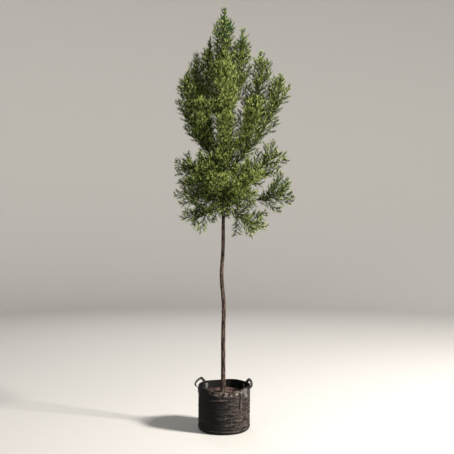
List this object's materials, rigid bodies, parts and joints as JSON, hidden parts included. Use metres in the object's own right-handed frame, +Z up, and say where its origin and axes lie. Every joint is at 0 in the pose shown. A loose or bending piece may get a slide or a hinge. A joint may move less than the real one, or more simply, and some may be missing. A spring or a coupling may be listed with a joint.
{
  "type": "potted tamarisk",
  "caption": "Potted tamarisk grown as a standard: a slim bare trunk under a feathery crown of upright and spreading plumes, in a round black fabric pot with webbing handles.",
  "frame": {"origin": "centre of the pot's flat underside, on the surface that it stands on", "axes": "+Z up along the trunk, -Y towards the viewer of the picture, +X to the viewer's right"},
  "size_m": [0.894, 0.7126, 3.1264],
  "materials": {
    "black_fabric": "matt black felted fabric",
    "black_webbing": "black woven webbing",
    "dark_soil": "dark moist compost",
    "brown_bark": "dark brown furrowed bark",
    "green_foliage": "matt fresh to dark green fine foliage"
  },
  "bodies": {
    "root": {"bough_lower_left": "brown_bark", "bough_lower_right_far": "brown_bark", "bough_lower_right_hanging": "brown_bark", "bough_lower_right_upper": "brown_bark", "bough_upper_back": "brown_bark", "bough_upper_left": "brown_bark", "bough_upper_left_back": "brown_bark", "bough_upper_left_front": "brown_bark", "bough_upper_left_outer": "brown_bark", "bough_upper_right": "brown_bark", "bough_upper_right_back": "brown_bark", "bough_upper_right_front": "brown_bark", "bough_upper_right_outer": "brown_bark", "foliage_leader": "green_foliage", "foliage_leader_back": "green_foliage", "foliage_leader_front": "green_foliage", "foliage_leader_left": "green_foliage", "foliage_leader_right": "green_foliage", "foliage_lower_back": "green_foliage", "foliage_lower_back_left": "green_foliage", "foliage_lower_back_right": "green_foliage", "foliage_lower_front": "green_foliage", "foliage_lower_front_left": "green_foliage", "foliage_lower_front_right": "green_foliage", "foliage_lower_front_upper": "green_foliage", "foliage_lower_left": "green_foliage", "foliage_lower_left_hanging": "green_foliage", "foliage_lower_left_upper": "green_foliage", "foliage_lower_right_far": "green_foliage", "foliage_lower_right_hanging": "green_foliage", "foliage_lower_right_upper": "green_foliage", "foliage_upper_back": "green_foliage", "foliage_upper_front": "green_foliage", "foliage_upper_left": "green_foliage", "foliage_upper_left_back": "green_foliage", "foliage_upper_left_front": "green_foliage", "foliage_upper_left_outer": "green_foliage", "foliage_upper_right": "green_foliage", "foliage_upper_right_back": "green_foliage", "foliage_upper_right_front": "green_foliage", "foliage_upper_right_outer": "green_foliage", "handle_left": "black_webbing", "handle_right": "black_webbing", "pot": "black_fabric", "soil": "dark_soil", "trunk": "brown_bark"}
  },
  "joints": []
}
